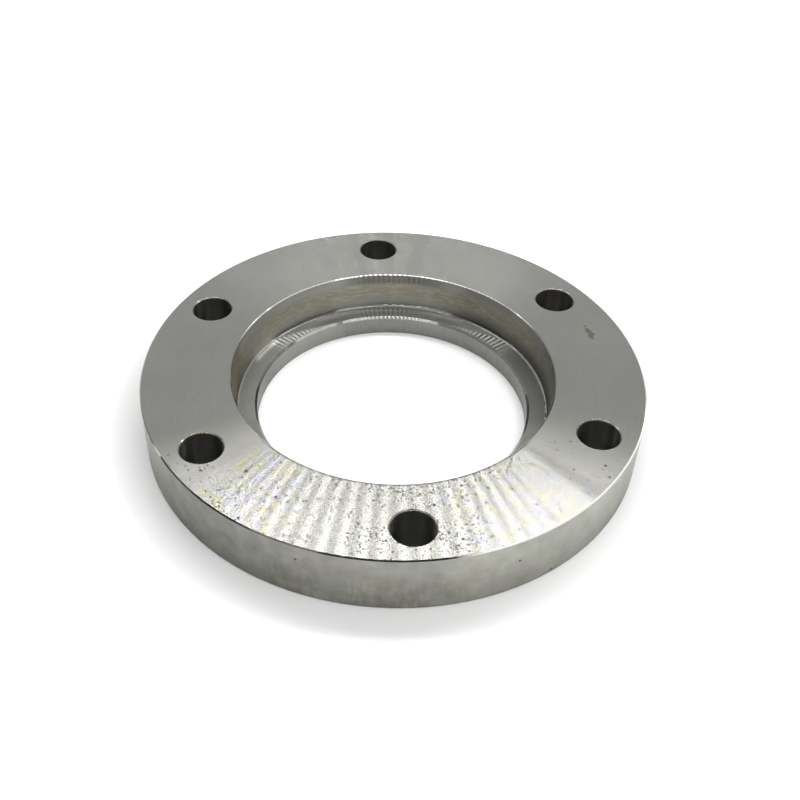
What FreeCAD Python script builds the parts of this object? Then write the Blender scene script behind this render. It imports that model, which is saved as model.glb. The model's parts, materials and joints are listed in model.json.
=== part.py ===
import FreeCAD, Part
import os
import Sketcher

# Exhaust flange: one steel ring, turned and drilled.
# The frame has its origin at the centre of the back face, with +Z along the ring's axis
# towards the face that the counterbore opens in. One bolt hole lies on +Y.

NODE = "flange_ring"
MATCH = 1e-4  # how near a radius and a height have to be to name the same edge, in mm

# Numbers that a sketch gives to a curve's points and to its own two axes
START, END, CENTRE = range(1, 4)
HORIZONTAL_AXIS, VERTICAL_AXIS = range(-1, -3, -1)

# Driving dimensions, in mm: alias, value, what it sizes
SIZES = [
    ("pipe_diameter", 101.6, "outside of the exhaust pipe that the counterbore takes"),
    ("pipe_clearance", 0.3, "gap all round between the pipe and the counterbore's straight mouth"),
    ("mouth_depth", 3.6, "front face down to where the counterbore's wall starts to close in"),
    ("wall_narrowing", 1.0, "how far the wall closes in, all round, from there to the ledge"),
    ("ledge_width", 6.5, "ledge at the foot of the counterbore, from its wall to the through bore"),
    ("face_width", 27.9, "front face, from the counterbore's wall to the rim"),
    ("ring_thickness", 20.0, "back face to front face"),
    ("counterbore_depth", 13.0, "front face down to the ledge"),
    ("corner_radius", 1.0, "inside corner at the foot of the counterbore's wall"),
    ("rim_chamfer", 0.4, "both outside edges of the ring"),
    ("mouth_chamfer", 0.25, "edge of the counterbore at the front face"),
    ("ledge_chamfer", 0.7, "edge of the ledge above the through bore"),
    ("back_edge_chamfer", 0.2, "edge of the through bore at the back face"),
    ("bolt_diameter", 12.0, "bolt that each hole takes"),
    ("bolt_clearance", 0.35, "gap all round between the bolt and its hole"),
    ("bolt_edge_distance", 11.6, "rim in to the circle that the bolt holes lie on"),
    ("bolt_hole_chamfer", 0.45, "edge of each bolt hole at the front face"),
    ("bolt_hole_back_chamfer", 0.4, "edge of each bolt hole at the back face"),
    ("bolt_count", 6, "bolt holes, evenly spaced"),
]

# Sizes that follow from the driving ones: alias, formula
DERIVED = [
    ("counterbore_radius", "pipe_diameter / 2 + pipe_clearance"),
    ("counterbore_foot_radius", "counterbore_radius - wall_narrowing"),
    ("through_bore_radius", "counterbore_foot_radius - ledge_width"),
    ("rim_radius", "counterbore_radius + face_width"),
    ("ledge_height", "ring_thickness - counterbore_depth"),
    ("bolt_circle_radius", "rim_radius - bolt_edge_distance"),
    ("bolt_hole_radius", "bolt_diameter / 2 + bolt_clearance"),
]


def make_sheet(doc):
    sheet = doc.addObject("Spreadsheet::Sheet", "sizes")
    for row, (alias, value, meaning) in enumerate(SIZES, start=1):
        sheet.set(f"A{row}", meaning)
        sheet.set(f"B{row}", str(value))
        sheet.setAlias(f"B{row}", alias)
    for row, (alias, formula) in enumerate(DERIVED, start=len(SIZES) + 1):
        sheet.set(f"A{row}", formula)
        sheet.set(f"B{row}", f"={formula}")
        sheet.setAlias(f"B{row}", alias)
    doc.recompute()
    return sheet


def origin_part(body, role):
    """The body's own plane or axis with this role, such as XZ_Plane or Z_Axis."""
    for feature in body.Origin.OriginFeatures:
        if feature.Role == role:
            return feature
    raise RuntimeError(f"the body has no {role}")


def sketch_on(body, role, name):
    sketch = body.newObject("Sketcher::SketchObject", name)
    sketch.AttachmentSupport = [(origin_part(body, role), "")]
    sketch.MapMode = "FlatFace"
    return sketch


def add_size(sketch, sheet, kind, places, alias):
    """Adds the dimension that the sheet gives under this alias, and binds it to that cell."""
    sketch.addConstraint(Sketcher.Constraint(kind, *places, getattr(sheet, alias)))
    sketch.renameConstraint(sketch.ConstraintCount - 1, alias)
    sketch.setExpression(f"Constraints.{alias}", f"sizes.{alias}")


# Stepped section of the ring
def draw_section(body, sheet):
    """Half section in the XZ plane, with the ring's axis as its vertical axis."""
    corners = [
        (sheet.through_bore_radius, 0),
        (sheet.rim_radius, 0),
        (sheet.rim_radius, sheet.ring_thickness),
        (sheet.counterbore_radius, sheet.ring_thickness),
        (sheet.counterbore_radius, sheet.ring_thickness - sheet.mouth_depth),
        (sheet.counterbore_foot_radius, sheet.ledge_height),
        (sheet.through_bore_radius, sheet.ledge_height),
    ]
    back_line, rim_line, front_line, mouth_line, wall_line, ledge_line, bore_line = range(len(corners))

    sketch = sketch_on(body, "XZ_Plane", "ring_section")
    for index, start in enumerate(corners):
        end = corners[(index + 1) % len(corners)]
        line = Part.LineSegment(FreeCAD.Vector(*start, 0), FreeCAD.Vector(*end, 0))
        sketch.addGeometry(line, False)
    for index in range(len(corners)):
        following = (index + 1) % len(corners)
        sketch.addConstraint(Sketcher.Constraint("Coincident", index, END, following, START))
    for line in (back_line, front_line, ledge_line):
        sketch.addConstraint(Sketcher.Constraint("Horizontal", line))
    for line in (rim_line, mouth_line, bore_line):
        sketch.addConstraint(Sketcher.Constraint("Vertical", line))
    sketch.addConstraint(Sketcher.Constraint("PointOnObject", back_line, START, HORIZONTAL_AXIS))

    from_axis = (HORIZONTAL_AXIS, START)
    add_size(sketch, sheet, "DistanceX", (*from_axis, bore_line, START), "through_bore_radius")
    add_size(sketch, sheet, "DistanceX", (*from_axis, wall_line, END), "counterbore_foot_radius")
    add_size(sketch, sheet, "DistanceX", (*from_axis, mouth_line, START), "counterbore_radius")
    add_size(sketch, sheet, "DistanceX", (*from_axis, rim_line, START), "rim_radius")
    add_size(sketch, sheet, "DistanceY", (rim_line, START, rim_line, END), "ring_thickness")
    add_size(sketch, sheet, "DistanceY", (mouth_line, END, mouth_line, START), "mouth_depth")
    add_size(sketch, sheet, "DistanceY", (wall_line, END, mouth_line, START), "counterbore_depth")
    return sketch


def turn_ring(body, section):
    ring = body.newObject("PartDesign::Revolution", "turned_ring")
    ring.Profile = section
    ring.ReferenceAxis = (section, ["V_Axis"])
    ring.Angle = 360.0
    body.Document.recompute()
    return ring


# Corners and edges
def round_edges(feature, radius, height):
    """Names of the feature's circular edges of this radius at this height."""
    names = []
    for number, edge in enumerate(feature.Shape.Edges, start=1):
        if not isinstance(edge.Curve, Part.Circle):
            continue
        same_radius = abs(edge.Curve.Radius - radius) < MATCH
        same_height = abs(edge.Curve.Center.z - height) < MATCH
        if same_radius and same_height:
            names.append(f"Edge{number}")
    if not names:
        raise RuntimeError(f"{feature.Name} has no round edge of radius {radius} at height {height}")
    return names


def round_corner(body, base, edges, name, alias):
    corner = body.newObject("PartDesign::Fillet", name)
    corner.Base = (base, edges)
    corner.setExpression("Radius", f"sizes.{alias}")
    body.Document.recompute()
    return corner


def break_edges(body, base, edges, name, alias):
    """Chamfers the edges at 45 degrees, by the size that the alias gives."""
    chamfer = body.newObject("PartDesign::Chamfer", name)
    chamfer.Base = (base, edges)
    chamfer.ChamferType = "Equal distance"
    chamfer.setExpression("Size", f"sizes.{alias}")
    body.Document.recompute()
    return chamfer


def finish_section(body, ring, sheet):
    """The corner at the foot of the counterbore, then every turned edge."""
    front = sheet.ring_thickness
    ledge = sheet.ledge_height
    foot = round_edges(ring, sheet.counterbore_foot_radius, ledge)
    ring = round_corner(body, ring, foot, "counterbore_corner", "corner_radius")
    rims = round_edges(ring, sheet.rim_radius, front) + round_edges(ring, sheet.rim_radius, 0)
    ring = break_edges(body, ring, rims, "rim_edges", "rim_chamfer")
    mouth = round_edges(ring, sheet.counterbore_radius, front)
    ring = break_edges(body, ring, mouth, "mouth_edge", "mouth_chamfer")
    lip = round_edges(ring, sheet.through_bore_radius, ledge)
    ring = break_edges(body, ring, lip, "ledge_edge", "ledge_chamfer")
    back = round_edges(ring, sheet.through_bore_radius, 0)
    return break_edges(body, ring, back, "back_bore_edge", "back_edge_chamfer")


# Bolt holes
def draw_bolt_hole(body, sheet):
    """The hole's circle, drawn on the front face with its centre on +Y."""
    sketch = sketch_on(body, "XY_Plane", "bolt_hole_circle")
    sketch.setExpression("AttachmentOffset.Base.z", "sizes.ring_thickness")
    centre = FreeCAD.Vector(0, sheet.bolt_circle_radius, 0)
    outline = Part.Circle(centre, FreeCAD.Vector(0, 0, 1), sheet.bolt_hole_radius)
    circle = sketch.addGeometry(outline, False)
    sketch.addConstraint(Sketcher.Constraint("PointOnObject", circle, CENTRE, VERTICAL_AXIS))
    from_axis = (HORIZONTAL_AXIS, START)
    add_size(sketch, sheet, "DistanceY", (*from_axis, circle, CENTRE), "bolt_circle_radius")
    add_size(sketch, sheet, "Radius", (circle,), "bolt_hole_radius")
    body.Document.recompute()
    return sketch


def drill_hole(body, ring, sketch):
    """One through hole with a 45 degree countersink at the front face."""
    volume_before = ring.Shape.Volume
    hole = body.newObject("PartDesign::Hole", "bolt_hole")
    hole.Profile = sketch
    body.Document.recompute()
    hole.Threaded = False
    hole.DepthType = "ThroughAll"
    hole.setExpression("Diameter", "2 * sizes.bolt_hole_radius")
    hole.HoleCutType = "Countersink"
    hole.HoleCutCustomValues = True
    hole.HoleCutCountersinkAngle = 90.0
    hole.setExpression("HoleCutDiameter", "2 * (sizes.bolt_hole_radius + sizes.bolt_hole_chamfer)")
    body.Document.recompute()
    if hole.Shape.Volume >= volume_before:
        raise RuntimeError("the bolt hole removes nothing")
    return hole


def repeat_hole(body, hole):
    holes = body.newObject("PartDesign::PolarPattern", "bolt_holes")
    holes.Originals = [hole]
    holes.Axis = (origin_part(body, "Z_Axis"), [""])
    holes.Angle = 360.0
    holes.setExpression("Occurrences", "sizes.bolt_count")
    body.Tip = holes
    body.Document.recompute()
    return holes


def make_flange(doc, sheet):
    body = doc.addObject("PartDesign::Body", NODE)
    body.Label = NODE
    body.Placement = FreeCAD.Placement()
    ring = turn_ring(body, draw_section(body, sheet))
    ring = finish_section(body, ring, sheet)
    hole = drill_hole(body, ring, draw_bolt_hole(body, sheet))
    holes = repeat_hole(body, hole)
    back_rims = round_edges(holes, sheet.bolt_hole_radius, 0)
    body.Tip = break_edges(body, holes, back_rims, "bolt_hole_back_edges", "bolt_hole_back_chamfer")
    return body


# Checks and files
def check(doc, bodies):
    for item in doc.Objects:
        if "Invalid" in item.State or "Error" in item.State:
            raise RuntimeError(f"{item.Name} failed: {item.State}")
    for body in bodies:
        if body.Shape.isNull() or not body.Shape.isValid():
            raise RuntimeError(f"{body.Label} has no valid shape")


def write_parts(bodies):
    os.makedirs("parts", exist_ok=True)
    for body in bodies:
        body.Shape.exportStep(f"parts/{body.Label}.step")
        box = body.Shape.BoundBox
        print(f"{body.Label}: {len(body.Shape.Solids)} solid, {body.Shape.Volume:.1f} mm3,", end=" ")
        print(f"{box.XLength:.2f} x {box.YLength:.2f} x {box.ZLength:.2f} mm")


doc = FreeCAD.newDocument("exhaust_flange")
sheet = make_sheet(doc)
bodies = [make_flange(doc, sheet)]
doc.recompute()
check(doc, bodies)
write_parts(bodies)
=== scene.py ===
import json
import math

import bpy
from mathutils import Matrix, Vector


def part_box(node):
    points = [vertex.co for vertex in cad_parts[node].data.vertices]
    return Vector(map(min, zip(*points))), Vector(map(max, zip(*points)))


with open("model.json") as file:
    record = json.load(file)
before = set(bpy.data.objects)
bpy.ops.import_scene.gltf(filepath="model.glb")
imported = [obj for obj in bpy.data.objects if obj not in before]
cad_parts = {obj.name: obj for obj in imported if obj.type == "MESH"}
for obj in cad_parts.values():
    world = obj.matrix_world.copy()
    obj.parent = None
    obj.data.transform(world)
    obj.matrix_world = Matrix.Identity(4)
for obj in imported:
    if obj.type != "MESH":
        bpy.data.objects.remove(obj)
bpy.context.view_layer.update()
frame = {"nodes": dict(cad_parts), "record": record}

MM = 0.001
NODE = "flange_ring"

# Sizes of the ring in millimetres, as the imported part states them
MOUNTS = {mount["name"]: mount for mount in frame["record"]["mounts"]}
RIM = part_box(NODE)[1].x / MM
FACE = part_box(NODE)[1].z / MM
COUNTERBORE = MOUNTS["counterbore"]["dims"]["r_mm"]
BORE = MOUNTS["through_bore"]["dims"]["r_mm"]
LEDGE = MOUNTS["ledge"]["pos_m"][2] / MM
HOLE = MOUNTS["bolt_holes"]["dims"]["hole_r_mm"]
HOLE_CIRCLE = MOUNTS["bolt_holes"]["dims"]["pcd_mm"] / 2
HOLE_STEP = 2 * math.pi / MOUNTS["bolt_holes"]["dims"]["count"]
FIRST_HOLE = math.pi / 2  # bearing of one hole

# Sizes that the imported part's mounts don't state
HOLE_CHAMFER = 0.45
MOUTH_DEPTH = 3.6  # of the straight part of the counterbore's wall

# Camera, fitted to the photograph: 800 x 800 pixels, ring at rest on its back face
IMAGE_SIDE = 800
FOCAL_PIXELS = 1047.0
PRINCIPAL_X_OFFSET = -28.6  # pixels from the image's middle to the lens axis
SENSOR_WIDTH = 36.0
ELEVATION = math.radians(41.45)
AZIMUTH = math.radians(-4.52)
ROLL = math.radians(-1.19)
DISTANCE = 344.3 * MM
SLIDE_RIGHT = 6.57 * MM
SLIDE_UP = -4.61 * MM
CLIP_NEAR = 0.01  # metres
CLIP_FAR = 20  # metres
HEADING = (math.cos(AZIMUTH), math.sin(AZIMUTH), 0.0)  # level, to the camera's right

# Steel colours by machined face, and the colours of what lies on it
STEEL = (0.238, 0.240, 0.222)
SIDE_STEEL = (0.276, 0.276, 0.247)
WALL_STEEL = (0.266, 0.263, 0.239)
LEDGE_STEEL = (0.258, 0.260, 0.241)
BORE_STEEL = (0.222, 0.226, 0.209)
# Darkened as painted shade of the deep holes
HOLE_SHADED_STEEL = (0.081, 0.079, 0.072)
HOLE_EDGE = (0.27, 0.255, 0.22)
OLIVE_STAIN = (0.226, 0.204, 0.142)
BROWN_STAIN = (0.200, 0.168, 0.118)
BLOT_COLOUR = (0.10, 0.095, 0.06)
SMUDGE_COLOUR = (0.178, 0.172, 0.132)
PIT_COLOUR = (0.035, 0.027, 0.018)

# Traces of the tools
GROOVE_PITCH = 0.17  # mm between turned grooves
GROOVE_SLOPE = 0.11  # spread of the groove flanks' slope
GROOVE_CREST = 0.015  # share of a groove's width, at each side, over which the slope stays the same
PROFILE_RISE = 1.37  # how much a millimetre of height counts along the profile, where one of radius counts 1
GRAIN_HEIGHT = 0.0015  # mm
CHATTER_RIBS = 180  # to the full circle
DRILL_RINGS = 5.2  # radians of their wave to a millimetre of depth
DRILL_RING_GAIN = 0.10  # how much lighter and darker than the hole they are
DRILL_RING_WANDER = 0.6  # mm by which they stray up and down

# Noise, in features to a millimetre
CLOUD_SCALE = 0.05
BLOTCH_SCALE = 0.20
DULL_SCALE = 2.1
SALT_SCALE = 2.4
WANDER_SCALE = 0.4
PIT_SCALE = 1.3
PIT_CROWD_SCALE = 0.12
BLOOM_SCALE = 0.32
BLOOM_SHIFT = (40.0, 0.0, 0.0)  # from the bloom's first pattern to its second, in millimetres
PAINTED_STREAK_SCALE = 22.0  # but this one, of the painted highlight streaks, in features to a radian round the axis

# Streaks drawn out along the grooves: features to a millimetre across them, and to a radian round the axis
SMEAR_STREAKS = (0.45, 9.0)
RUN_STREAKS = (0.12, 50.0)
FILM_STREAKS = (0.9, 14.0)
TONE_STREAKS = (2.6, 12.0)
GRAIN_STREAKS = (3.0, 12.0)

# Roughness of flat faces and bevelled edges, and what other places add to it
FACE_ROUGHNESS = 0.095
EDGE_ROUGHNESS = 0.09
SIDE_ROUGHER = 0.25
STEP_ROUGHER = 0.19  # wall, ledge and bore alike
HOLE_ROUGHER = 0.35
PIT_ROUGHER = 0.5
DULL_ROUGHER = 0.15
WORN_LESS_METALLIC = 0.45

# Marks on the front face: bearing in degrees, radius and half width in millimetres
PIT_FADE = 0.3  # width of a pit's soft edge
PITS = (
    (224.1, 63.0, 0.45), (235.9, 65.6, 0.36), (232.7, 77.4, 0.32), (276.2, 59.9, 0.30), (216.4, 72.3, 0.25),
    (277.6, 70.4, 0.24), (280.1, 73.2, 0.27), (278.7, 75.1, 0.21), (285.9, 54.6, 0.27), (292.5, 58.2, 0.30),
    (298.0, 61.7, 0.24), (289.3, 63.0, 0.21), (320.7, 73.9, 0.30), (318.1, 76.9, 0.24),
)
BLOT_FADE = 0.5
BLOT = (
    (15.6, 68.0, 0.2), (14.2, 68.0, 0.4), (13.2, 67.9, 0.8),
    (11.9, 68.2, 0.9), (11.0, 67.5, 0.7), (10.1, 67.7, 0.3),
)
# Where pits crowd beside one hole: bearing, radius, half width and fade
PIT_CROWDS = (
    (275.4, 67.0, 0.4, 2.0), (276.4, 72.0, 0.8, 2.5), (277.2, 75.3, 0.4, 2.0), (282.0, 75.3, 0.5, 1.8),
)
# Share of the scattered points that are pits, on each part of the front face
GRAINY_PIT_SHARES = (0.07, 0.17)
HOLE_PIT_SHARE = 0.24
INNER_PIT_SHARE = 0.11
SPECKLED_PIT_SHARE = 0.02
LEFT_PIT_SHARE = 0.08
# Pits on the side: bearing, height and half width
SIDE_PIT_FADE = 0.25
SIDE_PITS = ((246.2, 14.7, 0.30), (291.3, 11.9, 0.30), (300.1, 1.4, 0.30))

# Sectors of the front face: bearing of the middle, half width and fade in degrees
WORN_SECTOR = (266.0, 50.0, 16.0)
SPECKLED_SECTOR = (272.0, 46.0, 10.0)
GRAINY_SECTOR = (255.0, 29.0, 6.0)
GRAINY_INNER_SECTOR = (280.0, 24.0, 7.0)
PITTED_LEFT_SECTOR = (218.0, 7.0, 4.0)
# A dark line painted as shade along the mouth's front edge
MOUTH_SHADE_LINE_SECTOR = (268.0, 42.0, 12.0)
# Painted highlight streaks on the face by the rear hole
PAINTED_STREAK_SECTOR = (90.0, 9.0, 8.0)

# Sectors of the wall, the ledge and the bore, in the same way. Most of them place painted light and shade.
RUST_SECTOR = (177.0, 7.0, 9.0)
# Painted shade at the wall's back, right end and right foot, and a painted highlight at its left foot
WALL_BACK_SHADE_SECTOR = (100.0, 45.0, 20.0)
WALL_RIGHT_SHADE_SECTOR = (10.0, 45.0, 30.0)
WALL_RIGHT_FOOT_SHADE_SECTOR = (22.0, 22.0, 22.0)
WALL_LEFT_FOOT_HIGHLIGHT_SECTOR = (147.0, 4.0, 4.0)
WALL_RIB_SECTOR = (86.0, 10.0, 6.0)
# Painted light at the ledge's back, chatter ribs, a painted highlight at its left, and a fainter painted
# glint at its right
LEDGE_BACK_LIGHT_SECTOR = (88.0, 24.0, 14.0)
LEDGE_RIB_SECTOR = (88.0, 8.0, 7.0)
LEDGE_LEFT_HIGHLIGHT_SECTOR = (146.5, 5.0, 4.0)
FAINT_GLINT_SECTOR = (40.0, 22.0, 8.0)
# Painted light on the bore
BORE_LEFT_LIGHT_SECTOR = (130.0, 12.0, 14.0)

# Where stains, tones and painted light and shade begin and where they are full: heights above the back face,
# in millimetres
OLIVE_FROM_TOP = (17.4, 15.2)
OLIVE_FROM_FOOT = (8.5, 12.0)
SMUDGE_HEIGHTS = (15.0, 6.0)
WALL_BACK_SHADE_HEIGHTS = (11.5, 14.0)
WALL_RIGHT_FOOT_SHADE_HEIGHTS = (13.0, 8.5)
WALL_LEFT_FOOT_HIGHLIGHT_HEIGHTS = (10.5, 9.0)
# Painted light at the side's top, and painted shade low down and at its foot
SIDE_LIT_TOP_HEIGHTS = (12.0, 17.0)
SIDE_SHADED_LOW_HEIGHTS = (12.0, 4.0)
SIDE_SHADED_FOOT_HEIGHTS = (0.8, 0.4)
HOLE_SHADED_TOP_HEIGHTS = (13.0, 19.0)

# And the same for radii
GRAINY_INNER_RADII = (59.0, 53.0)
WORN_OUTER_RADII = (60.0, 72.0)
PITTED_LEFT_RADII = (65.0, 73.0)
LEDGE_BACK_LIGHT_RADII = (46.0, 49.0)
LEDGE_LEFT_HIGHLIGHT_RADII = (47.3, 48.8)

# Stretches that are lighter or darker: bearing, half width and fade in degrees, and gain. The smudges and
# bloom are on the steel; the others are painted light and shade.
SMUDGES = ((263.0, 4.0, 5.0, 1.0), (245.0, 4.0, 4.0, 0.8), (275.5, 3.0, 4.0, 0.8))
WALL_TOP_PAINTED_SHADE = ((84.5, 9.0, 15.0, 1.0), (44.5, 9.0, 5.0, 0.45))
LEDGE_PAINTED_LIGHT_AND_SHADE = ((168.0, 14.0, 14.0, 0.28), (5.0, 20.0, 6.0, -0.18))
# Painted shade in the wall's foot corner, and painted highlights and shade on the mouth, lip and rim edges
CORNER_PAINTED_SHADE = ((46.5, 11.0, 5.0, -0.6), (124.0, 13.0, 5.0, -0.6))
MOUTH_PAINTED_HIGHLIGHTS = ((100.0, 52.0, 12.0, 1.8), (48.0, 22.0, 8.0, 2.2))
LIP_PAINTED_LIGHT_AND_SHADE = ((90.0, 80.0, 20.0, -0.38), (123.0, 9.5, 4.0, 1.1))
RIM_PAINTED_LIGHT_AND_SHADE = ((312.0, 26.0, 10.0, 3.1), (231.0, 50.0, 8.0, -0.35), (212.5, 6.0, 4.0, 1.8))
SIDE_PAINTED_LIGHT_AND_SHADE = ((298.0, 12.0, 14.0, 0.20), (215.0, 20.0, 25.0, -0.22))
BLOOM_STRETCHES = ((231.0, 7.0, 7.0, 1.0), (290.0, 8.0, 6.0, 0.8), (307.0, 5.0, 4.0, 0.5))

# Edge of the dark wall's reflection, painted on the ledge as shade, with a painted highlight before it.
# It keeps one radius round the middle bearing, and curves outwards beyond that. Bearings are in degrees, and
# radii in millimetres.
MIRROR_BEARING = 87.0
MIRROR_RADIUS = 44.3
MIRROR_LEVEL_HALF = 23.0  # where it starts to curve outwards, to either side
MIRROR_CURVE_SPAN = 28.5  # from there to where it has gone out by MIRROR_RISE
MIRROR_RISE = 5.2
MIRROR_POWER = 1.7
MIRROR_ENDS = (58.5, 53.0)  # degrees off the middle bearing, where it begins and where it is full
GLINT_START = (18.0, 30.0)  # the same for the painted highlight before that edge
GLINT_RIB_START = (34.0, 44.0)  # and for the ribs in it

# Places round the ring are in millimetres, in the camera's heading: x to its right, y away from it, z up

# A strip of small lamps behind the ring. Each lamp is drawn as a bar that leans outwards, so that
# all of it shines along the same radial line of the turned face.
STRIP_BACK = 150.0
STRIP_HALF = 640.0
STRIP_HEIGHT = 360.0  # where a bar has its lamp's own place
STRIP_LEFT = -204.0
STRIP_RIGHT = 232.0
STRIP_LEFT_EDGE = (-224.0, -194.0)  # where the bars begin and are full
STRIP_RIGHT_EDGE = (239.0, 218.0)
STRIP_RADIANCE = 9.0
LAMP_PITCH = 16.1
LAMP_PHASE = 1.0
BAR_LOW = 330.0
BAR_HIGH = 520.0
BAR_LEAN = 0.0040
BAR_END_LEAN = 0.0014  # how much more the bar at the left end leans
BAR_SHARPNESS = 1.5
BAR_REST = 0.34  # light between the bars
DIM_FROM = -125.0  # bars get dimmer to the left of this
DIM_TO = -195.0  # and have DIM_SHARE of their light from here on
DIM_SHARE = 0.55
STRONG_FROM = 40.0  # and stronger to the right of this
STRONG_SHARE = 1.10  # share of its light that the bar at the right end has

# Glow beyond the strip's ends, as a share of the light of its bars
LEFT_GLOW = 0.25
LEFT_GLOW_END = -420.0
RIGHT_GLOW = 0.36
RIGHT_GLOW_START = 243.0
RIGHT_GLOW_FULL = 268.0
RIGHT_GLOW_FADE = 275.0
RIGHT_GLOW_END = 420.0

# Lamps of another colour near the left end, and where lamps are warmer and cooler by turns
BROWN_LAMP = -186.0
BROWN_REACH = (20.0, 3.0)  # how far from it the colour begins, and is full
COOL_LAMP = -158.0
COOL_REACH = (24.0, 8.0)
WARM_REACH = (-200.0, -80.0)  # from where these turns are strongest to where they are faint
WARM_TINTS = (0.13, 0.02)  # and how strong they are there

# A second strip in front, which in the photograph's view only the bevelled edges at the back mirror
FRONT_STRIP = (12.0, -195.0, 349.0)
FRONT_STRIP_SIZE = (430.0, 50.0)
FRONT_STRIP_RADIANCE = 2.6
FRONT_BAR_SHARPNESS = 5.0
FRONT_BAR_REST = 0.02

# Plain lamps and dark cards: name, place and size, and a lamp's radiance
LAMPS = (
    ("back_lamp", (0, 620, 300), (420, 160), 0.46),
    ("right_lamp", (345, 200, 320), (90, 160), 1.5),
)
CARDS = (
    ("front_card", (-7, -420, 330), (420, 260)),
    ("left_card", (-520, -120, 200), (420, 260)),
)
CARD_COLOUR = (0.10, 0.10, 0.10, 1)
LAMP_POWER = 4  # of an area lamp over its area, for a radiance of 1

WHITE = 1.0  # what the camera and the steel see of the surroundings
FILL_LOW = 0.18  # the light that the surroundings give from low down
FILL_HIGH = 0.75  # and how much more from above
FILL_HEIGHTS = (0.45, 0.85)  # sine of the height from which that comes, and at which it is full
FILL_RIGHT = 1.0  # how much more of it comes from the right, and less from the left
FILL_FRONT = 0.55  # how much more of it comes from the front, and less from the back
FLOOR_SIDE = 6  # metres
FLOOR_COLOUR = (0.80, 0.80, 0.80, 1)
# The floor glows less near the ring and in its bore: painted shade there, besides the real shadow
FLOOR_GLOW = 0.11  # what the camera and the steel see of the floor besides its lit colour
FLOOR_CLEAR_GLOW = 0.8  # and how much more away from the ring
FLOOR_CLEAR_OUTSIDE = (8.0, 40.0)  # how far outside the rim that begins, and is full
FLOOR_CLEAR_INSIDE = (4.0, 20.0)  # and how far inside the bore


class Field:
    """A number, vector or colour that shader nodes work out at each point"""

    def __init__(self, tree, socket):
        self.tree = tree
        self.socket = socket

    def __add__(self, other):
        return calculate(self.tree, "ADD", self, other)

    def __radd__(self, other):
        return calculate(self.tree, "ADD", other, self)

    def __sub__(self, other):
        return calculate(self.tree, "SUBTRACT", self, other)

    def __rsub__(self, other):
        return calculate(self.tree, "SUBTRACT", other, self)

    def __mul__(self, other):
        return calculate(self.tree, "MULTIPLY", self, other)

    def __rmul__(self, other):
        return calculate(self.tree, "MULTIPLY", other, self)

    def __truediv__(self, other):
        return calculate(self.tree, "DIVIDE", self, other)

    def __pow__(self, other):
        return calculate(self.tree, "POWER", self, other)

    def call(self, operation, *others):
        return calculate(self.tree, operation, self, *others)


def plug(tree, socket, value):
    """Joins a field to a node's input, or sets the input to a plain value"""
    if isinstance(value, Field):
        tree.links.new(value.socket, socket)
    else:
        socket.default_value = value


def calculate(tree, operation, *values):
    """Arithmetic on numbers"""
    node = tree.nodes.new("ShaderNodeMath")
    node.operation = operation
    for socket, value in zip(node.inputs, values):
        plug(tree, socket, value)
    return Field(tree, node.outputs[0])


def combine(tree, operation, *values):
    """Arithmetic on vectors"""
    node = tree.nodes.new("ShaderNodeVectorMath")
    node.operation = operation
    for socket, value in zip(node.inputs, values):
        plug(tree, socket, value)
    number = operation in ("DOT_PRODUCT", "LENGTH", "DISTANCE")
    return Field(tree, node.outputs["Value" if number else "Vector"])


def scaled(vector, factor):
    """A vector or colour times a number"""
    node = vector.tree.nodes.new("ShaderNodeVectorMath")
    node.operation = "SCALE"
    plug(vector.tree, node.inputs[0], vector)
    plug(vector.tree, node.inputs["Scale"], factor)
    return Field(vector.tree, node.outputs["Vector"])


def parts(vector):
    """The three numbers of a vector or colour"""
    node = vector.tree.nodes.new("ShaderNodeSeparateXYZ")
    plug(vector.tree, node.inputs[0], vector)
    return [Field(vector.tree, socket) for socket in node.outputs]


def joined(tree, x, y, z):
    """A vector or colour from three numbers"""
    node = tree.nodes.new("ShaderNodeCombineXYZ")
    for socket, value in zip(node.inputs, (x, y, z)):
        plug(tree, socket, value)
    return Field(tree, node.outputs[0])


def ramp(value, low, high, to_low=0.0, to_high=1.0):
    """A smooth step from to_low to to_high while value goes from low to high"""
    node = value.tree.nodes.new("ShaderNodeMapRange")
    node.interpolation_type = "SMOOTHSTEP"
    for name, number in (
        ("Value", value), ("From Min", low), ("From Max", high), ("To Min", to_low), ("To Max", to_high),
    ):
        plug(value.tree, node.inputs[name], number)
    return Field(value.tree, node.outputs["Result"])


def noise(vector, scale, detail, roughness):
    """Soft noise round 0.5, with scale features to a unit of the vector"""
    node = vector.tree.nodes.new("ShaderNodeTexNoise")
    for name, value in (("Vector", vector), ("Scale", scale), ("Detail", detail), ("Roughness", roughness)):
        plug(vector.tree, node.inputs[name], value)
    return Field(vector.tree, node.outputs["Fac"])


def cells(vector, scale):
    """Distance to the nearest of scattered points, and three random numbers for that point"""
    node = vector.tree.nodes.new("ShaderNodeTexVoronoi")
    node.voronoi_dimensions = "2D"
    plug(vector.tree, node.inputs["Vector"], vector)
    plug(vector.tree, node.inputs["Scale"], scale)
    return Field(vector.tree, node.outputs["Distance"]), parts(Field(vector.tree, node.outputs["Color"]))


def blend(factor, first, second):
    """A colour that goes from first to second as factor goes from 0 to 1"""
    node = factor.tree.nodes.new("ShaderNodeMix")
    node.data_type = "RGBA"
    plug(factor.tree, node.inputs[0], factor)
    for socket, value in ((node.inputs[6], first), (node.inputs[7], second)):
        plug(factor.tree, socket, value if isinstance(value, Field) else (*value, 1.0))
    return Field(factor.tree, node.outputs[2])


def source(tree, kind, output):
    """What a new node that needs no input gives at the named output"""
    return Field(tree, tree.nodes.new(kind).outputs[output])


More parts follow.
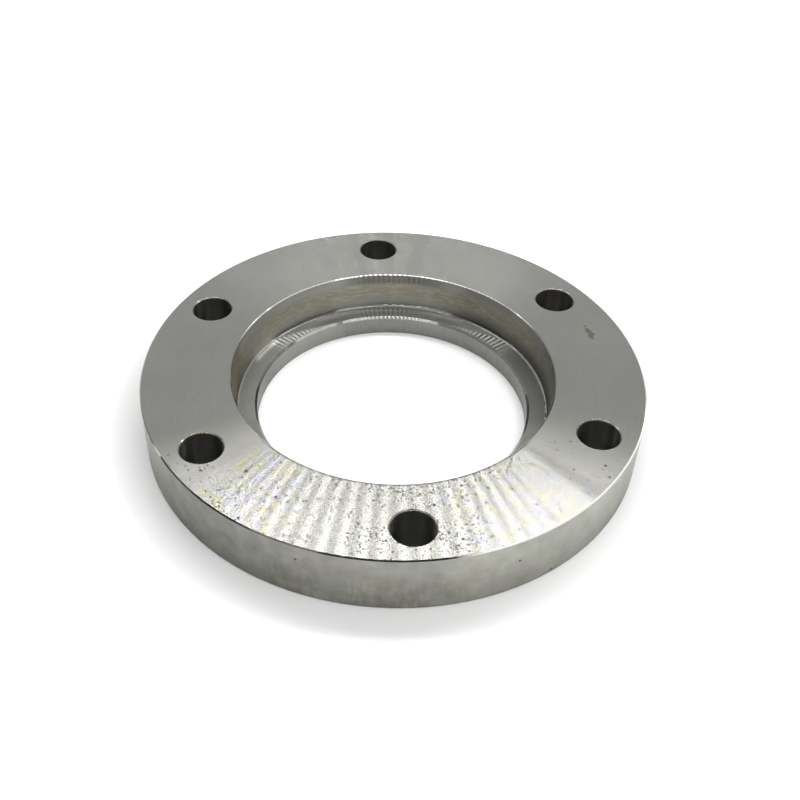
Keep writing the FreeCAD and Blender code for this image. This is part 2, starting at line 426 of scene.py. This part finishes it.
class Surface:
    """Where a shaded point lies on the ring, in millimetres, and which machined face it is on"""

    def __init__(self, tree):
        self.tree = tree
        self.place = scaled(source(tree, "ShaderNodeTexCoord", "Object"), 1 / MM)
        self.up = parts(source(tree, "ShaderNodeTexCoord", "Normal"))[2]
        self.x, self.y, self.z = parts(self.place)
        self.flat = joined(tree, self.x, self.y, 0.0)
        self.radius = combine(tree, "LENGTH", self.flat)
        self.angle = self.y.call("ARCTAN2", self.x)
        self.profile = self.radius + self.z * PROFILE_RISE
        self.find_hole()
        self.find_faces()
        self.find_edges()
        self.spread_noise()
        self.spread_wear()

    def find_hole(self):
        """Place from the nearest hole's axis, and 1 from its chamfer inwards, or on its wall only"""
        nearest = ((self.angle - FIRST_HOLE) / HOLE_STEP).call("ROUND") * HOLE_STEP + FIRST_HOLE
        self.hole_x = self.x - nearest.call("COSINE") * HOLE_CIRCLE
        self.hole_y = self.y - nearest.call("SINE") * HOLE_CIRCLE
        away = combine(self.tree, "LENGTH", joined(self.tree, self.hole_x, self.hole_y, 0.0))
        self.near_hole = ramp(away, HOLE + HOLE_CHAMFER + 0.05, HOLE + HOLE_CHAMFER - 0.01)
        self.in_hole = ramp(away, HOLE + 0.14, HOLE + 0.06)

    def find_faces(self):
        """1 on each machined face, by its place and the way it faces"""
        level = ramp(self.up, 0.96, 0.99)
        in_mouth = ramp(self.radius, COUNTERBORE + 0.3, COUNTERBORE + 0.2)
        in_bore = ramp(self.radius, BORE + 0.7, BORE + 0.4)
        self.on_face = level * ramp(self.z, FACE - 0.1, FACE - 0.01)
        self.on_ledge = level * ramp(self.z, LEDGE + 1.0, LEDGE + 0.5)
        self.on_side = ramp(self.radius, RIM - 0.3, RIM - 0.05)
        self.on_wall = in_mouth * ramp(self.z, LEDGE + 0.1, LEDGE + 0.6)
        self.on_bore = in_bore * ramp(self.z, LEDGE, LEDGE - 0.4)

    def find_edges(self):
        """1 on the bevelled edges, together and one by one, and in the corner at the wall's foot"""
        self.bevelled = ramp(self.up, 0.45, 0.6) * ramp(self.up, 0.95, 0.85) * (1.0 - self.near_hole)
        by_bore = ramp(self.radius, BORE + 0.9, BORE + 0.8)
        by_mouth = ramp(self.radius, COUNTERBORE + 1.0, COUNTERBORE + 0.8)
        self.on_lip = self.bevelled * by_bore * ramp(self.z, LEDGE + 0.2, LEDGE)
        self.on_mouth = self.bevelled * by_mouth * ramp(self.z, FACE - 1.1, FACE - 0.7)
        self.on_rim = self.bevelled * ramp(self.radius, RIM - 0.8, RIM - 0.6)
        rounded = ramp(self.up, 0.05, 0.2) * ramp(self.up, 0.99, 0.9)
        by_foot = ramp(self.radius, COUNTERBORE - 3.0, COUNTERBORE - 2.5)
        self.in_corner = rounded * by_foot * ramp(self.z, LEDGE + 1.1, LEDGE + 0.9)

    def spread_noise(self):
        """Patches of two sizes, streaks of two lengths, and the chatter ribs, fainter in places"""
        self.cloud = noise(self.place, CLOUD_SCALE, 3.0, 0.6)
        self.blotch = noise(self.place, BLOTCH_SCALE, 3.0, 0.6)
        self.smear = self.streaks(*SMEAR_STREAKS, 3.0)
        self.runs = self.streaks(*RUN_STREAKS, 2.0)
        self.rib = (self.angle * CHATTER_RIBS).call("COSINE") * ramp(self.blotch, 0.35, 0.6, 0.3, 1.2)

    def spread_wear(self):
        """1 on the worn, grainy and pitted parts of the front face"""
        self.worn = self.arc(*WORN_SECTOR) * self.on_face
        self.by_hole = spots(self, PIT_CROWDS)
        self.inner_band = self.arc(*GRAINY_INNER_SECTOR) * ramp(self.radius, *GRAINY_INNER_RADII)
        self.grainy = self.arc(*GRAINY_SECTOR).call("MAXIMUM", self.inner_band)
        self.grainy = self.grainy.call("MAXIMUM", self.by_hole) * self.on_face

    def arc(self, centre, half, soft):
        """1 within half degrees of the bearing called centre, fading to 0 over soft degrees more"""
        off = (self.angle - math.radians(centre)).call("COSINE")
        return ramp(off, math.cos(math.radians(half + soft)), math.cos(math.radians(half)))

    def spot(self, bearing, radius, size, soft):
        """1 on a round spot of the front face, fading to 0 over soft millimetres more"""
        turn = math.radians(bearing)
        away = joined(self.tree, self.x - radius * math.cos(turn), self.y - radius * math.sin(turn), 0.0)
        return ramp(combine(self.tree, "LENGTH", away), size + soft, size)

    def streaks(self, across, along, detail, roughness=0.6):
        """Noise with across features to a millimetre of the profile, and along to a radian round the axis"""
        direction = (self.x / self.radius * along, self.y / self.radius * along)
        return noise(joined(self.tree, self.profile * across, *direction), 1.0, detail, roughness)


def groove_tangent(surface):
    """The direction in which the tool moved: round the ring's axis, or round a hole's own"""
    ring = joined(surface.tree, surface.y * -1.0, surface.x, 0.0)
    hole = joined(surface.tree, surface.hole_y * -1.0, surface.hole_x, 0.0)
    ring = combine(surface.tree, "NORMALIZE", ring)
    hole = combine(surface.tree, "NORMALIZE", hole)
    node = surface.tree.nodes.new("ShaderNodeMix")
    node.data_type = "VECTOR"
    plug(surface.tree, node.inputs[0], surface.near_hole)
    plug(surface.tree, node.inputs[4], ring)
    plug(surface.tree, node.inputs[5], hole)
    return Field(surface.tree, node.outputs[1])


def groove_slope(surface):
    """Slope of the groove flank at a point: gentle for most of a groove's width, steep at its crest"""
    place = (surface.profile / GROOVE_PITCH).call("FRACT")
    place = place.call("MAXIMUM", GROOVE_CREST).call("MINIMUM", 1.0 - GROOVE_CREST)
    return (place / (1.0 - place)).call("LOGARITHM", math.e) * GROOVE_SLOPE


def stretches(surface, table):
    """Sum of the arcs in a table of bearing, half width, fade and gain"""
    return sum(gain * surface.arc(bearing, half, soft) for bearing, half, soft, gain in table)


def spots(surface, table):
    """1 on any of the spots in a table of bearing, radius, half width and fade"""
    masks = [surface.spot(*row) for row in table]
    total = masks.pop()
    for mask in masks:
        total = total.call("MAXIMUM", mask)
    return total


def layered(*layers):
    """Factor by which layers lighten or darken the steel, each given as its gain and where it lies"""
    factor = 1.0
    for gain, where in layers:
        factor = factor * (1.0 + gain * where)
    return factor


def plain_steel(surface):
    """Colour of the clean steel, a little different on each machined face"""
    colour = STEEL
    for where, steel in (
        (surface.on_side, SIDE_STEEL), (surface.on_wall, WALL_STEEL),
        (surface.on_ledge, LEDGE_STEEL), (surface.on_bore, BORE_STEEL),
    ):
        colour = blend(where, colour, steel)
    return colour


def stain(surface, colour):
    """Brown and olive stains: the wall's middle, its left end, one blot on the face, smudges on the side"""
    band = surface.on_wall * ramp(surface.z, *OLIVE_FROM_TOP) * ramp(surface.z, *OLIVE_FROM_FOOT)
    olive = band * ramp(surface.streaks(*FILM_STREAKS, 4.0, 0.65), 0.38, 0.58)
    rust = surface.on_wall * surface.arc(*RUST_SECTOR) * ramp(surface.blotch, 0.28, 0.48)
    blot = surface.on_face * spots(surface, [(*place, BLOT_FADE) for place in BLOT])
    smudge = surface.on_side * stretches(surface, SMUDGES) * ramp(surface.z, *SMUDGE_HEIGHTS)
    smudge = smudge * ramp(surface.runs, 0.35, 0.6)
    for strength, where, stain_colour in (
        (0.9, olive, OLIVE_STAIN), (0.9, rust, BROWN_STAIN),
        (0.75, blot, BLOT_COLOUR), (0.45, smudge, SMUDGE_COLOUR),
    ):
        colour = blend(strength * where, colour, stain_colour)
    return colour


def bloom(surface, colour):
    """Pale yellow, blue and lilac bloom on the bright sector, mostly at its left end"""
    strength = surface.on_face * stretches(surface, BLOOM_STRETCHES)
    shifted = combine(surface.tree, "ADD", surface.place, BLOOM_SHIFT)
    warm = (noise(surface.place, BLOOM_SCALE, 1.0, 0.5) - 0.5) * strength
    pink = (noise(shifted, BLOOM_SCALE, 1.0, 0.5) - 0.5) * strength
    red, green, blue = parts(colour)
    red = red * (1.0 + 0.28 * pink + 0.15 * warm + 0.02 * surface.worn)
    return joined(surface.tree, red, green * (1.0 + 0.15 * warm), blue * (1.0 - 0.85 * warm))


def wall_tone_and_painted_light(surface):
    """Light and dark of the counterbore's wall: random streaks and short ribs across its top, with painted
    shade in a band at the top, at the back, the right end and the right foot, and a painted highlight at the
    left foot
    """
    bend = FACE - MOUTH_DEPTH
    top = ramp(surface.z, bend - 0.8, bend + 0.8) * stretches(surface, WALL_TOP_PAINTED_SHADE)
    back = surface.arc(*WALL_BACK_SHADE_SECTOR) * ramp(surface.z, *WALL_BACK_SHADE_HEIGHTS)
    shaded_right_end = surface.arc(*WALL_RIGHT_SHADE_SECTOR)
    shaded_right_foot = surface.arc(*WALL_RIGHT_FOOT_SHADE_SECTOR) * ramp(surface.z, *WALL_RIGHT_FOOT_SHADE_HEIGHTS)
    lit_left_foot = surface.arc(*WALL_LEFT_FOOT_HIGHLIGHT_SECTOR) * ramp(surface.z, *WALL_LEFT_FOOT_HIGHLIGHT_HEIGHTS)
    ribs = surface.rib * top * surface.arc(*WALL_RIB_SECTOR)
    return (0.86 + 0.28 * surface.smear) * layered(
        (-0.46, top), (-0.10, back), (-0.30, shaded_right_end),
        (-0.35, shaded_right_foot), (0.25, lit_left_foot), (0.14, ribs),
    )


def ledge_ribs_and_painted_light(surface):
    """Painted light and shade of the ledge: the dark wall's reflection painted behind a slanting line, a
    ribbed painted highlight before it, more painted light and shade in stretches and at the back, and
    chatter ribs at the back
    """
    off = (surface.angle - math.radians(MIRROR_BEARING)).call("ABSOLUTE") * (180 / math.pi)
    beyond = (off - MIRROR_LEVEL_HALF).call("MAXIMUM", 0.0) / MIRROR_CURVE_SPAN
    behind = ramp(surface.radius - (MIRROR_RADIUS + MIRROR_RISE * beyond ** MIRROR_POWER), -0.6, 0.4)
    span = ramp(off, *MIRROR_ENDS)
    before = span * (1.0 - behind) * ramp(off, *GLINT_START)
    glint = 0.45 - 0.32 * surface.arc(*FAINT_GLINT_SECTOR)
    glint = glint + surface.rib * ramp(off, *GLINT_RIB_START, 0.35, 1.1)
    painted_left_highlight = surface.arc(*LEDGE_LEFT_HIGHLIGHT_SECTOR) * ramp(surface.radius, *LEDGE_LEFT_HIGHLIGHT_RADII)
    back_ribs = surface.rib * surface.arc(*LEDGE_RIB_SECTOR)
    back = surface.arc(*LEDGE_BACK_LIGHT_SECTOR) * ramp(surface.radius, *LEDGE_BACK_LIGHT_RADII, -0.26, 0.75)
    tone = 1.0 - 0.36 * span * behind + stretches(surface, LEDGE_PAINTED_LIGHT_AND_SHADE) + 1.5 * painted_left_highlight
    return tone * layered((glint, before), (0.28, back_ribs), (1.0, back))


def side_tone_and_painted_light(surface):
    """Light and dark of the ring's outside: random patches, painted light at the top, painted light and
    shade in stretches round it, and painted shade low down and darker still at the foot
    """
    patches = (surface.blotch - 0.5) * 0.6 + 0.06 * ramp(surface.z, *SIDE_LIT_TOP_HEIGHTS)
    patches = patches + stretches(surface, SIDE_PAINTED_LIGHT_AND_SHADE)
    low = ramp(surface.z, *SIDE_SHADED_LOW_HEIGHTS) * ramp(surface.smear, 0.3, 0.6, 0.2, 1.4)
    foot = ramp(surface.z, *SIDE_SHADED_FOOT_HEIGHTS)
    return layered((1.0, patches), (-0.08, low), (-0.3, foot))


def bore_tone_and_painted_light(surface):
    """Light and dark of the through bore: random runs, and painted light at the left of its back"""
    return 1.0 + 0.26 * surface.arc(*BORE_LEFT_LIGHT_SECTOR) + 0.4 * (surface.runs - 0.5)


def edge_painted_light(surface):
    """Painted highlights and shade on the bevelled edges, ribbed on the mouth, and painted shade in the
    corner at the wall's foot
    """
    mouth = surface.on_mouth * stretches(surface, MOUTH_PAINTED_HIGHLIGHTS) * (1.0 + 0.22 * surface.rib)
    lip = surface.on_lip * stretches(surface, LIP_PAINTED_LIGHT_AND_SHADE)
    rim = surface.on_rim * stretches(surface, RIM_PAINTED_LIGHT_AND_SHADE)
    corner = surface.in_corner * stretches(surface, CORNER_PAINTED_SHADE)
    return (1.0 + mouth + lip + rim).call("MAXIMUM", 0.1) * (1.0 + corner)


def face_tone_and_painted_streaks(surface):
    """Light and dark of the front face: painted highlight streaks by the rear hole, and wear over the front
    sector
    """
    direction = joined(surface.tree, surface.x / surface.radius, surface.y / surface.radius, 0.0)
    painted_streaks = ramp(noise(direction, PAINTED_STREAK_SCALE, 1.0, 0.5), 0.45, 0.70) * surface.arc(*PAINTED_STREAK_SECTOR)
    outer = surface.worn * ramp(surface.radius, *WORN_OUTER_RADII)
    return layered((0.16, painted_streaks * surface.on_face), (0.34, surface.worn), (0.10, outer))


def steel_tone_and_painted_light(surface):
    """How light or dark the steel is at a point, as a factor on its colour, with the painted light and shade
    of each face and edge
    """
    tone = (0.88 + 0.24 * surface.cloud) * (0.92 + 0.16 * surface.streaks(*TONE_STREAKS, 2.0))
    for where, part_tone in (
        (surface.on_bore, bore_tone_and_painted_light), (surface.on_wall, wall_tone_and_painted_light),
        (surface.on_ledge, ledge_ribs_and_painted_light), (surface.on_side, side_tone_and_painted_light),
    ):
        tone = tone * (1.0 + where * (part_tone(surface) - 1.0))
    return tone * edge_painted_light(surface) * face_tone_and_painted_streaks(surface)


def dull_grain(surface):
    """Fine dull grain of the front sector, and the salt and pepper that goes with it"""
    dull = ramp(noise(surface.flat, DULL_SCALE, 1.0, 0.6), 0.48, 0.36) * surface.grainy
    gain = surface.on_face * (0.15 + 0.4 * surface.arc(*SPECKLED_SECTOR)) + surface.grainy * 1.6
    salt = (1.0 + (noise(surface.flat, SALT_SCALE, 1.0, 0.6) - 0.5) * gain).call("MAXIMUM", 0.2)
    return dull, salt * (1.0 - 0.25 * dull)


def scattered_pits(surface):
    """Pits of random size and darkness at scattered points, at more of them on the front sector"""
    crowd = noise(surface.flat, PIT_CROWD_SCALE, 2.0, 0.5)
    share = surface.grainy * ramp(crowd, 0.35, 0.65, *GRAINY_PIT_SHARES)
    share = share + HOLE_PIT_SHARE * surface.by_hole + INNER_PIT_SHARE * surface.inner_band
    share = share + SPECKLED_PIT_SHARE * surface.arc(*SPECKLED_SECTOR)
    left = LEFT_PIT_SHARE * surface.arc(*PITTED_LEFT_SECTOR)
    share = share + left * ramp(surface.radius, *PITTED_LEFT_RADII)
    distance, (chance, size, darkness) = cells(surface.flat, PIT_SCALE)
    # A point is a pit where its own random number is above the threshold
    threshold = 0.999 - share
    chosen = ramp(chance, threshold, threshold + 0.004)
    return ramp(distance - 0.26 * size * size, 0.42, 0.21) * chosen * (0.6 + 0.4 * darkness)


def pit_mask(surface):
    """1 in the dark pits: scattered ones, single ones that stand out, and those on the side"""
    single = spots(surface, [(*place, PIT_FADE) for place in PITS])
    pit = scattered_pits(surface).call("MAXIMUM", single) * surface.on_face
    for bearing, height, size in SIDE_PITS:
        turn = math.radians(bearing)
        middle = (RIM * math.cos(turn), RIM * math.sin(turn), height)
        away = combine(surface.tree, "DISTANCE", surface.place, middle)
        pit = pit.call("MAXIMUM", ramp(away, size + SIDE_PIT_FADE, size))
    return pit * (1.0 - surface.near_hole)


def hole_colour_and_shade(surface):
    """Steel of the holes darkened as painted shade, and more so towards the top, with the drill's rings"""
    wander = DRILL_RING_WANDER * noise(surface.place, WANDER_SCALE, 1.0, 0.5)
    rings = ((surface.z + wander) * DRILL_RINGS).call("COSINE") * DRILL_RING_GAIN + 1.0
    return scaled(joined(surface.tree, *HOLE_SHADED_STEEL), rings * ramp(surface.z, *HOLE_SHADED_TOP_HEIGHTS, 1.0, 0.7))


def steel_colour(surface, pit, salt):
    """Colour of the steel with its stains, marks, pits and drilled holes, and its painted light and shade"""
    colour = bloom(surface, stain(surface, plain_steel(surface)))
    colour = scaled(colour, steel_tone_and_painted_light(surface) * salt)
    # Painted shade: a dark line along the mouth's edge at the front
    by_mouth = ramp(surface.radius, COUNTERBORE + 0.9, COUNTERBORE + 0.65)
    mouth_shade_line = surface.on_face * by_mouth * surface.arc(*MOUTH_SHADE_LINE_SECTOR)
    hole_edge = surface.near_hole * ramp(surface.up, 0.98, 0.9)
    colour = blend(pit * 0.92, colour, PIT_COLOUR)
    colour = blend(mouth_shade_line * 0.75, colour, PIT_COLOUR)
    colour = blend(hole_edge, colour, HOLE_EDGE)
    return blend(surface.in_hole, colour, hole_colour_and_shade(surface))


def steel_roughness(surface, pit, dull):
    """How dull the steel is at a point"""
    rough = FACE_ROUGHNESS + SIDE_ROUGHER * surface.on_side
    rough = rough + STEP_ROUGHER * (surface.on_wall + surface.on_bore)
    rough = rough * (1.0 - surface.bevelled) + EDGE_ROUGHNESS * surface.bevelled
    rough = rough + HOLE_ROUGHER * surface.in_hole + STEP_ROUGHER * surface.on_ledge
    return rough + PIT_ROUGHER * pit + DULL_ROUGHER * dull


def turned_normal(surface):
    """The normal with the fine grain and the grooves' slope in it, and the direction across the grooves"""
    tree = surface.tree
    bump = tree.nodes.new("ShaderNodeBump")
    bump.inputs["Distance"].default_value = MM
    bump.inputs["Strength"].default_value = 1.0
    plug(tree, bump.inputs["Height"], surface.streaks(*GRAIN_STREAKS, 2.0) * GRAIN_HEIGHT)
    normal = Field(tree, bump.outputs[0])
    across = combine(tree, "CROSS_PRODUCT", normal, groove_tangent(surface))
    slope = groove_slope(surface) * (1.0 - 0.9 * surface.bevelled)
    tilted = combine(tree, "NORMALIZE", combine(tree, "ADD", normal, scaled(across, slope)))
    return tilted, across


def new_material(name):
    """A material with nodes, and its shader"""
    material = bpy.data.materials.new(name)
    material.use_nodes = True
    return material, material.node_tree.nodes["Principled BSDF"]


def steel_material():
    """Turned steel, whose highlights spread across the grooves"""
    material, bsdf = new_material("turned_steel")
    tree = material.node_tree
    surface = Surface(tree)
    dull, salt = dull_grain(surface)
    pit = pit_mask(surface)
    normal, across = turned_normal(surface)
    plug(tree, bsdf.inputs["Base Color"], steel_colour(surface, pit, salt))
    plug(tree, bsdf.inputs["Roughness"], steel_roughness(surface, pit, dull))
    plug(tree, bsdf.inputs["Normal"], normal)
    plug(tree, bsdf.inputs["Tangent"], across)
    plug(tree, bsdf.inputs["Metallic"], (1.0 - pit) * (1.0 - WORN_LESS_METALLIC * surface.worn))
    bsdf.inputs["Anisotropic"].default_value = 1.0
    return material


def sight(tree):
    """1 for a ray that shows a surface to the camera straight, mirrored or through glass, else 0"""
    path = tree.nodes.new("ShaderNodeLightPath")
    seen = Field(tree, path.outputs["Is Camera Ray"])
    for name in ("Is Glossy Ray", "Is Transmission Ray"):
        seen = seen.call("MAXIMUM", Field(tree, path.outputs[name]))
    return seen


def floor_material():
    """White floor that keeps the ring's shadow, and is as white as the surroundings further off. It glows
    less near the ring and in the bore, which paints shade there besides the real shadow
    """
    material, bsdf = new_material("white_floor")
    tree = material.node_tree
    bsdf.inputs["Base Color"].default_value = FLOOR_COLOUR
    bsdf.inputs["Roughness"].default_value = 1.0
    bsdf.inputs["Specular IOR Level"].default_value = 0.0
    bsdf.inputs["Emission Color"].default_value = (1, 1, 1, 1)
    away = combine(tree, "LENGTH", scaled(source(tree, "ShaderNodeNewGeometry", "Position"), 1 / MM))
    clear = ramp(away, *(RIM + gap for gap in FLOOR_CLEAR_OUTSIDE))
    clear = clear + ramp(away, *(BORE - gap for gap in FLOOR_CLEAR_INSIDE))
    plug(tree, bsdf.inputs["Emission Strength"], sight(tree) * (FLOOR_GLOW + FLOOR_CLEAR_GLOW * clear))
    return material


def card_material(name):
    """Plain dark grey"""
    material, bsdf = new_material(name)
    bsdf.inputs["Base Color"].default_value = CARD_COLOUR
    bsdf.inputs["Roughness"].default_value = 1.0
    return material


def make_camera():
    data = bpy.data.cameras.new("camera")
    data.sensor_fit = "HORIZONTAL"
    data.sensor_width = SENSOR_WIDTH
    data.lens = SENSOR_WIDTH * FOCAL_PIXELS / IMAGE_SIDE
    data.shift_x = -PRINCIPAL_X_OFFSET / IMAGE_SIDE
    data.clip_start = CLIP_NEAR
    data.clip_end = CLIP_FAR
    camera = bpy.data.objects.new("camera", data)
    bpy.context.scene.collection.objects.link(camera)
    back = Vector((
        math.sin(AZIMUTH) * math.cos(ELEVATION),
        -math.cos(AZIMUTH) * math.cos(ELEVATION),
        math.sin(ELEVATION),
    ))
    right = Vector(HEADING)
    up = back.cross(right)
    # Points of the world are turned by the roll in the picture, so the camera's own axes turn the other way
    cam_right = right * math.cos(ROLL) - up * math.sin(ROLL)
    cam_up = right * math.sin(ROLL) + up * math.cos(ROLL)
    place = back * DISTANCE - cam_right * SLIDE_RIGHT - cam_up * SLIDE_UP
    axes = Matrix((cam_right, cam_up, back)).transposed()
    camera.matrix_world = Matrix.Translation(place) @ axes.to_4x4()
    bpy.context.scene.camera = camera


def make_floor():
    bpy.ops.mesh.primitive_plane_add(size=FLOOR_SIDE, location=(0, 0, 0))
    floor = bpy.context.object
    floor.name = "floor"
    floor.data.materials.append(floor_material())


def make_world():
    """White surroundings, whose light on the ring comes mostly from above, the right and the front"""
    world = bpy.data.worlds.new("world")
    bpy.context.scene.world = world
    world.use_nodes = True
    tree = world.node_tree
    background = tree.nodes["Background"]
    background.inputs["Color"].default_value = (1, 1, 1, 1)
    towards = combine(tree, "NORMALIZE", source(tree, "ShaderNodeTexCoord", "Generated"))
    right = combine(tree, "DOT_PRODUCT", towards, HEADING)
    _, back, height = parts(towards)
    high = ramp(height, *FILL_HEIGHTS)
    lean = (1.0 + FILL_RIGHT * right - FILL_FRONT * back).call("MAXIMUM", 0.0)
    fill = (FILL_LOW + high * FILL_HIGH) * lean
    seen = sight(tree)
    plug(tree, background.inputs["Strength"], seen * WHITE + (1.0 - seen) * fill)


def set_up(place):
    """Matrix that puts an object at a place given in the camera's heading"""
    return Matrix.Rotation(AZIMUTH, 4, "Z") @ Matrix.Translation(Vector(place) * MM)


def add_lamp(name, place, size, radiance, aim=(0.0, 0.0, 0.0)):
    """A soft rectangular lamp that faces aim"""
    data = bpy.data.lights.new(name, "AREA")
    data.shape = "RECTANGLE"
    data.size = size[0] * MM
    data.size_y = size[1] * MM
    data.energy = LAMP_POWER * data.size * data.size_y * radiance
    lamp = bpy.data.objects.new(name, data)
    bpy.context.scene.collection.objects.link(lamp)
    facing = (Vector(aim) - Vector(place)).to_track_quat("-Z", "Y").to_matrix().to_4x4()
    lamp.matrix_world = set_up(place) @ facing
    lamp.visible_camera = False
    return lamp


def add_card(name, place, size):
    """A dark card that only the steel sees, as the dark side of a studio is seen in a polished part"""
    bpy.ops.mesh.primitive_plane_add(size=1)
    card = bpy.context.object
    card.name = name
    facing = (-Vector(place)).to_track_quat("Z", "Y").to_matrix().to_4x4()
    card.matrix_world = set_up(place) @ facing @ Matrix.Diagonal((size[0] * MM, size[1] * MM, 1, 1))
    card.data.materials.append(card_material(name))
    card.visible_camera = False
    card.visible_diffuse = False
    card.visible_transmission = False
    card.visible_shadow = False


def lamp_bars(place, sharpness, rest):
    """Light of a row of small lamps at a place along it, and 1 or -1 by turns from lamp to lamp"""
    turn = (place - LAMP_PHASE) * (2 * math.pi / LAMP_PITCH)
    # A sharper peak is narrower, so it is made brighter
    peak = (turn.call("COSINE") * 0.5 + 0.5) ** sharpness
    return peak * (1.0 - rest) * (1.0 + sharpness) + rest, (turn * 0.5).call("COSINE")


def place_along(tree):
    """How far to the right a point of a lamp is, in the camera's heading, and how high"""
    point = scaled(source(tree, "ShaderNodeNewGeometry", "Position"), 1 / MM)
    return combine(tree, "DOT_PRODUCT", point, HEADING), parts(point)[2]


def lamp_tree(lamp):
    """The nodes that work out a lamp's light"""
    lamp.data.use_nodes = True
    return lamp.data.node_tree


def colour_lamp(tree, colour):
    """Gives a lamp a colour that differs from point to point"""
    emission = tree.nodes["Emission"]
    plug(tree, emission.inputs["Color"], colour)
    emission.inputs["Strength"].default_value = 1.0


def strip_place(tree):
    """Place along the back strip of the lamp whose leaning bar goes through a point"""
    sideways, height = place_along(tree)
    rise = height - STRIP_HEIGHT
    guess = sideways / (1.0 + rise * BAR_LEAN)
    lean = BAR_LEAN + BAR_END_LEAN * (guess / STRIP_LEFT) ** 2.0
    return sideways / (1.0 + rise * lean)


def strip_colour(tree, lamp):
    """Light and colour of the back strip at a place along it: bars, and a glow beyond each end"""
    inside = ramp(lamp, *STRIP_LEFT_EDGE) * ramp(lamp, *STRIP_RIGHT_EDGE)
    strength = ramp(lamp, DIM_TO, DIM_FROM, DIM_SHARE, 1.0)
    strength = strength * ramp(lamp, STRONG_FROM, STRIP_RIGHT, 1.0, STRONG_SHARE)
    bars, warm = lamp_bars(lamp, BAR_SHARPNESS, BAR_REST)
    left = ramp(lamp, LEFT_GLOW_END, STRIP_LEFT, 0.0, LEFT_GLOW)
    left = left * ramp(lamp, *reversed(STRIP_LEFT_EDGE))
    right = ramp(lamp, RIGHT_GLOW_START, RIGHT_GLOW_FULL, 0.0, RIGHT_GLOW)
    right = right * ramp(lamp, RIGHT_GLOW_END, RIGHT_GLOW_FADE)
    brown = ramp((lamp - BROWN_LAMP).call("ABSOLUTE"), *BROWN_REACH)
    cool = ramp((lamp - COOL_LAMP).call("ABSOLUTE"), *COOL_REACH)
    tint = warm * ramp(lamp, *WARM_REACH, *WARM_TINTS)
    light = (bars * inside * strength + left + right) * (1.0 - 0.14 * brown)
    red = light * (1.0 + 0.05 * brown - 0.03 * cool + 0.5 * tint)
    green = light * (1.0 + 0.3 * tint)
    blue = light * (1.0 - 0.15 * brown + 0.03 * cool - tint)
    return joined(tree, red, green, blue)


def make_strip():
    """The row of small lamps at the back, as one lamp whose light comes in bars"""
    place = (0.0, STRIP_BACK, (BAR_LOW + BAR_HIGH) / 2)
    ahead = (0.0, 0.0, place[2])
    size = (2 * STRIP_HALF, BAR_HIGH - BAR_LOW)
    tree = lamp_tree(add_lamp("lamp_strip", place, size, STRIP_RADIANCE, ahead))
    colour_lamp(tree, strip_colour(tree, strip_place(tree)))


def make_front_strip():
    """The second row of small lamps"""
    tree = lamp_tree(add_lamp("front_strip", FRONT_STRIP, FRONT_STRIP_SIZE, FRONT_STRIP_RADIANCE))
    bars = lamp_bars(place_along(tree)[0], FRONT_BAR_SHARPNESS, FRONT_BAR_REST)[0]
    colour_lamp(tree, joined(tree, bars, bars, bars))


def light_studio():
    make_world()
    make_strip()
    make_front_strip()
    for lamp in LAMPS:
        add_lamp(*lamp)
    for card in CARDS:
        add_card(*card)


make_camera()
make_floor()
light_studio()

ring = frame["nodes"][NODE]
ring.data.materials.clear()
ring.data.materials.append(steel_material())

bpy.context.scene.view_settings.view_transform = "Standard"
